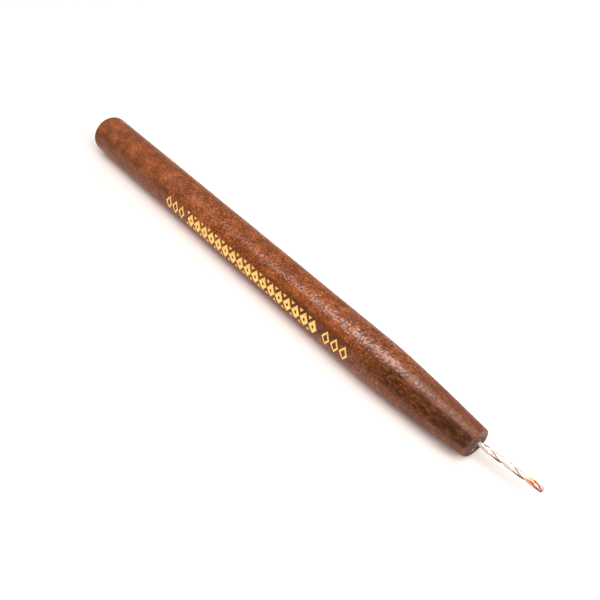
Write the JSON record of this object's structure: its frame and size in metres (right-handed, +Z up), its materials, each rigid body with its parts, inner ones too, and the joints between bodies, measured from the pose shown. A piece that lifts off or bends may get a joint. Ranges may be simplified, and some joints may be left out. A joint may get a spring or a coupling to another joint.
{
  "type": "clay drill tool",
  "caption": "Small twist drill glued into the tapered nose of a round turned wooden handle, for drilling fine holes in clay by hand.",
  "frame": {"origin": "on the surface that the tool lies on, under the middle of its box", "axes": "+X along the handle from its butt to the drill's point, +Z up from the surface that it lies on"},
  "size_m": [0.1406, 0.0094, 0.0093],
  "materials": {
    "handle": "red-brown stain under satin lacquer",
    "drill_bit": "bright ground, with a straw heat tint near the point",
    "adhesive": "cured glue",
    "foil": "hot-stamped gold foil, a plain ornament on the barrel"
  },
  "bodies": {
    "root": {"handle": "handle", "drill_bit": "drill_bit", "adhesive": "adhesive"}
  },
  "joints": []
}
